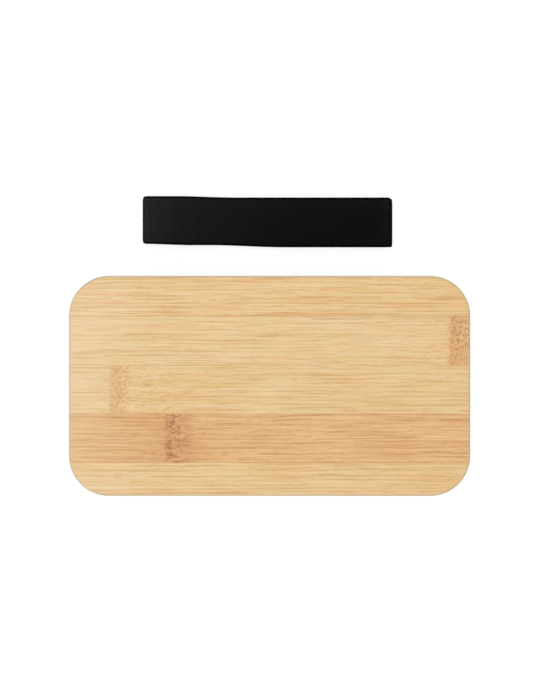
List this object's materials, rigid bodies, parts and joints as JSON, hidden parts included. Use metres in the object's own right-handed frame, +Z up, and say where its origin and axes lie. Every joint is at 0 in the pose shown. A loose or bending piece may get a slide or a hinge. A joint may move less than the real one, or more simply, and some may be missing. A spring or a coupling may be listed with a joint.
{
  "type": "bento lunch box",
  "caption": "Rectangular bento lunch box with rounded corners, a laminated bamboo lid, an inner seal, a sliding divider and a woven elastic band lying beside it.",
  "frame": {"origin": "middle of the box's flat base, on the table", "axes": "+X along the long side, +Y from front to back, towards the band lying beside the box, +Z up"},
  "size_m": [0.185, 0.1402, 0.0585],
  "materials": {
    "box_plastic": "moulded polypropylene, fine matte texture",
    "divider_plastic": "moulded polypropylene, fine matte texture",
    "silicone": "soft translucent white silicone",
    "webbing": "black woven elastic with fine crosswise ribs",
    "thread": "black sewing thread",
    "bamboo_board": "sanded and lightly oiled carbonised bamboo, flat grain",
    "bamboo_board_dark": "sanded and lightly oiled bamboo, a darker strip with a knuckle",
    "bamboo_plug": "sanded bamboo, lightly oiled"
  },
  "bodies": {
    "box": {"box_body": "box_plastic"},
    "lid": {"lid_strip_1": "bamboo_board", "lid_strip_2": "bamboo_board", "lid_strip_3": "bamboo_board", "lid_strip_4": "bamboo_board_dark", "lid_strip_5": "bamboo_board", "plug_strip_1": "bamboo_plug", "plug_strip_2": "bamboo_plug", "plug_strip_3": "bamboo_plug", "plug_strip_4": "bamboo_plug", "seal_ring": "silicone"},
    "divider": {"divider": "divider_plastic"},
    "band": {"band_webbing": "webbing", "band_stitching": "thread"}
  },
  "joints": [
    {"name": "lid_lift", "type": "slide", "parent": "box", "child": "lid", "axis": [0, 0, 1], "range_m": [0, 0.1]},
    {"name": "divider_slide", "type": "slide", "parent": "box", "child": "divider", "axis": [1, 0, 0], "range_m": [-0.04, 0.04]},
    {"name": "band_lift", "type": "slide", "parent": "box", "child": "band", "axis": [0, 0, 1], "range_m": [0, 0.06]}
  ]
}
